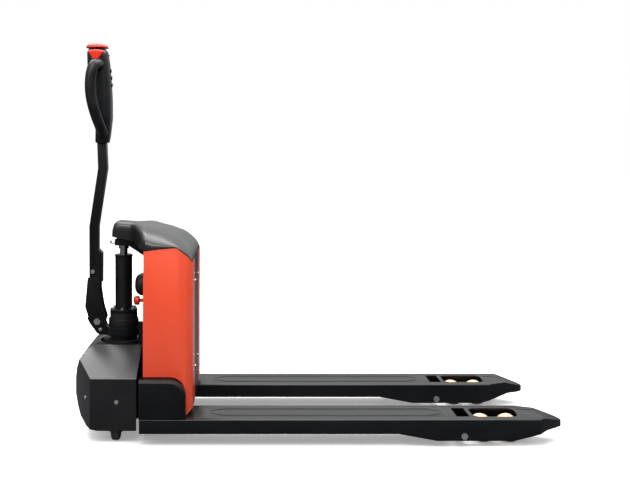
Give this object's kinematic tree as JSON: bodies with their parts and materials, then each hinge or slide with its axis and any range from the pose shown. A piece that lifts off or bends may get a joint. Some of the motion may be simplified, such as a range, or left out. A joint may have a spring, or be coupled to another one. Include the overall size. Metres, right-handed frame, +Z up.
{
  "type": "electric pallet truck",
  "caption": "Walk-behind electric pallet truck with two lifting forks, tandem load rollers, battery cabinet, shrouded drive unit and steered tiller.",
  "frame": {"origin": "on the floor, below the middle of the truck's bounding box, forks lowered and tiller upright", "axes": "+X towards the fork tips, +Y to the truck's left, +Z up"},
  "size_m": [1.532, 0.565, 1.2637],
  "materials": {
    "shroud_plastic": "moulded, satin",
    "frame_paint": "satin black powder coat",
    "fork_paint": "satin black paint",
    "red_panel": "semi-gloss red-orange",
    "cover_plastic": "satin black",
    "red_plastic": "gloss red",
    "polyurethane": "cast, satin",
    "drive_rubber": "black rubber",
    "zinc": "zinc plated",
    "bright_steel": "ground",
    "cast_metal": "as cast, painted",
    "motor_metal": "cast",
    "battery_case": "moulded",
    "grip_plastic": "satin, fine grain",
    "key_plastic": "satin"
  },
  "bodies": {
    "drive_base": {"base_frame": "frame_paint", "bearing_outer_ring": "zinc", "drive_shroud": "shroud_plastic", "shroud_screws": "zinc"},
    "chassis": {"cabinet_frame": "frame_paint", "fork_right": "fork_paint", "fork_left": "fork_paint", "gusset_right": "fork_paint", "gusset_left": "fork_paint", "head_bracket": "frame_paint", "lead_hook": "zinc", "side_cover_right": "red_panel", "side_cover_left": "red_panel", "front_cover": "cover_plastic", "top_cover": "cover_plastic", "cover_screws": "zinc", "battery_pack": "battery_case", "motor_controller": "motor_metal", "pump_motor": "cast_metal", "oil_tank": "battery_case", "arm_bolts": "zinc"},
    "steering": {"steering_head": "cast_metal", "bearing_inner_ring": "zinc", "tiller_yoke": "frame_paint", "lift_cylinder": "frame_paint", "cylinder_gland": "frame_paint", "cylinder_bolts": "zinc", "drive_motor": "motor_metal", "gearbox": "cast_metal"},
    "drive_wheel": {"drive_wheel_hub": "cast_metal", "drive_wheel_tyre": "drive_rubber"},
    "piston": {"piston_rod": "bright_steel"},
    "caster_right": {"caster_fork_right": "zinc"},
    "caster_wheel_right": {"caster_wheel_right": "polyurethane"},
    "arm_right": {"load_arm_right": "frame_paint"},
    "bogie_right": {"bogie_right": "zinc"},
    "rear_roller_right": {"load_wheel_rear_right": "polyurethane"},
    "front_roller_right": {"load_wheel_front_right": "polyurethane"},
    "push_rod_right": {"push_rod_right": "frame_paint"},
    "caster_left": {"caster_fork_left": "zinc"},
    "caster_wheel_left": {"caster_wheel_left": "polyurethane"},
    "arm_left": {"load_arm_left": "frame_paint"},
    "bogie_left": {"bogie_left": "zinc"},
    "rear_roller_left": {"load_wheel_rear_left": "polyurethane"},
    "front_roller_left": {"load_wheel_front_left": "polyurethane"},
    "push_rod_left": {"push_rod_left": "frame_paint"},
    "rocker": {"rocker": "frame_paint"},
    "tiller": {"tiller_arm": "frame_paint", "tiller_pin": "zinc", "tiller_bolt": "zinc", "gas_spring_tube": "frame_paint", "handle_head": "grip_plastic", "grips": "grip_plastic"},
    "spring_rod": {"gas_spring_rod": "bright_steel"},
    "throttle": {"throttle": "red_plastic"},
    "reverse_button": {"reverse_button": "red_plastic"},
    "lower_key": {"lower_key": "key_plastic"},
    "lift_key": {"lift_key": "key_plastic"},
    "horn_key": {"horn_key": "key_plastic"},
    "emergency_button": {"emergency_button": "red_plastic"}
  },
  "joints": [
    {"name": "lift", "type": "slide", "parent": "drive_base", "child": "chassis", "axis": [0, 0, 1], "range_m": [0, 0.105]},
    {"name": "steer", "type": "hinge", "parent": "drive_base", "child": "steering", "pos_m": [-0.629, 0, 0.3], "axis": [0, 0, 1], "range_deg": [-90, 90]},
    {"name": "drive", "type": "hinge", "parent": "steering", "child": "drive_wheel", "pos_m": [-0.629, 0, 0.105], "axis": [0, 1, 0], "continuous": true},
    {"name": "piston_travel", "type": "slide", "parent": "steering", "child": "piston", "axis": [0, 0, 1], "range_m": [0, 0.105]},
    {"name": "caster_swivel_right", "type": "hinge", "parent": "drive_base", "child": "caster_right", "pos_m": [-0.625, -0.19, 0.09], "axis": [0, 0, 1], "continuous": true},
    {"name": "caster_roll_right", "type": "hinge", "parent": "caster_right", "child": "caster_wheel_right", "pos_m": [-0.625, -0.203, 0.036], "axis": [1, 0, 0], "continuous": true},
    {"name": "arm_turn_right", "type": "hinge", "parent": "chassis", "child": "arm_right", "pos_m": [0.448, -0.2025, 0.034], "axis": [0, 1, 0], "range_deg": [0, 65.99]},
    {"name": "bogie_turn_right", "type": "hinge", "parent": "arm_right", "child": "bogie_right", "pos_m": [0.561, -0.2025, 0.037], "axis": [0, 1, 0], "range_deg": [-65.99, 0]},
    {"name": "rear_roll_right", "type": "hinge", "parent": "bogie_right", "child": "rear_roller_right", "pos_m": [0.52, -0.2025, 0.037], "axis": [0, 1, 0], "continuous": true},
    {"name": "front_roll_right", "type": "hinge", "parent": "bogie_right", "child": "front_roller_right", "pos_m": [0.602, -0.2025, 0.037], "axis": [0, 1, 0], "continuous": true},
    {"name": "push_right", "type": "slide", "parent": "chassis", "child": "push_rod_right", "axis": [1, 0, 0], "range_m": [0, 0.03051]},
    {"name": "caster_swivel_left", "type": "hinge", "parent": "drive_base", "child": "caster_left", "pos_m": [-0.625, 0.19, 0.09], "axis": [0, 0, 1], "continuous": true},
    {"name": "caster_roll_left", "type": "hinge", "parent": "caster_left", "child": "caster_wheel_left", "pos_m": [-0.625, 0.203, 0.036], "axis": [1, 0, 0], "continuous": true},
    {"name": "arm_turn_left", "type": "hinge", "parent": "chassis", "child": "arm_left", "pos_m": [0.448, 0.2025, 0.034], "axis": [0, 1, 0], "range_deg": [0, 65.99]},
    {"name": "bogie_turn_left", "type": "hinge", "parent": "arm_left", "child": "bogie_left", "pos_m": [0.561, 0.2025, 0.037], "axis": [0, 1, 0], "range_deg": [-65.99, 0]},
    {"name": "rear_roll_left", "type": "hinge", "parent": "bogie_left", "child": "rear_roller_left", "pos_m": [0.52, 0.2025, 0.037], "axis": [0, 1, 0], "continuous": true},
    {"name": "front_roll_left", "type": "hinge", "parent": "bogie_left", "child": "front_roller_left", "pos_m": [0.602, 0.2025, 0.037], "axis": [0, 1, 0], "continuous": true},
    {"name": "push_left", "type": "slide", "parent": "chassis", "child": "push_rod_left", "axis": [1, 0, 0], "range_m": [0, 0.03051]},
    {"name": "rocker_turn", "type": "hinge", "parent": "chassis", "child": "rocker", "pos_m": [-0.43, 0, 0.066], "axis": [0, 1, 0], "range_deg": [-65.99, 0]},
    {"name": "tiller_tilt", "type": "hinge", "parent": "steering", "child": "tiller", "pos_m": [-0.714, 0, 0.335], "axis": [0, -1, 0], "range_deg": [0, 80], "stiffness_Nm_per_rad": 8, "springref_deg": -20.05},
    {"name": "spring_travel", "type": "slide", "parent": "tiller", "child": "spring_rod", "axis": [0, 0, 1], "range_m": [0, 0.01401]},
    {"name": "throttle_turn", "type": "hinge", "parent": "tiller", "child": "throttle", "pos_m": [-0.713, 0, 1.213], "axis": [0, 1, 0], "range_deg": [-25, 25], "stiffness_Nm_per_rad": 0.6},
    {"name": "reverse_press", "type": "slide", "parent": "tiller", "child": "reverse_button", "axis": [0, 0, -1], "range_m": [0, 0.004], "stiffness_N_per_m": 900},
    {"name": "lower_press", "type": "slide", "parent": "tiller", "child": "lower_key", "axis": [-1, 0, 0], "range_m": [0, 0.003], "stiffness_N_per_m": 500},
    {"name": "lift_press", "type": "slide", "parent": "tiller", "child": "lift_key", "axis": [-1, 0, 0], "range_m": [0, 0.003], "stiffness_N_per_m": 500},
    {"name": "horn_press", "type": "slide", "parent": "tiller", "child": "horn_key", "axis": [-1, 0, 0], "range_m": [0, 0.003], "stiffness_N_per_m": 500},
    {"name": "emergency_press", "type": "slide", "parent": "chassis", "child": "emergency_button", "axis": [1, 0, 0], "range_m": [0, 0.006]}
  ],
  "couplings": [
    {"joint": "piston_travel", "follows": "lift", "ratio": 1},
    {"joint": "arm_turn_right", "follows": "lift", "rad_per_m": 10.968},
    {"joint": "bogie_turn_right", "follows": "lift", "rad_per_m": -10.968},
    {"joint": "push_right", "follows": "lift", "ratio": 0.29043},
    {"joint": "arm_turn_left", "follows": "lift", "rad_per_m": 10.968},
    {"joint": "bogie_turn_left", "follows": "lift", "rad_per_m": -10.968},
    {"joint": "push_left", "follows": "lift", "ratio": 0.29043},
    {"joint": "rocker_turn", "follows": "lift", "rad_per_m": -10.968},
    {"joint": "spring_travel", "follows": "tiller_tilt", "m_per_rad": 0.010027}
  ]
}
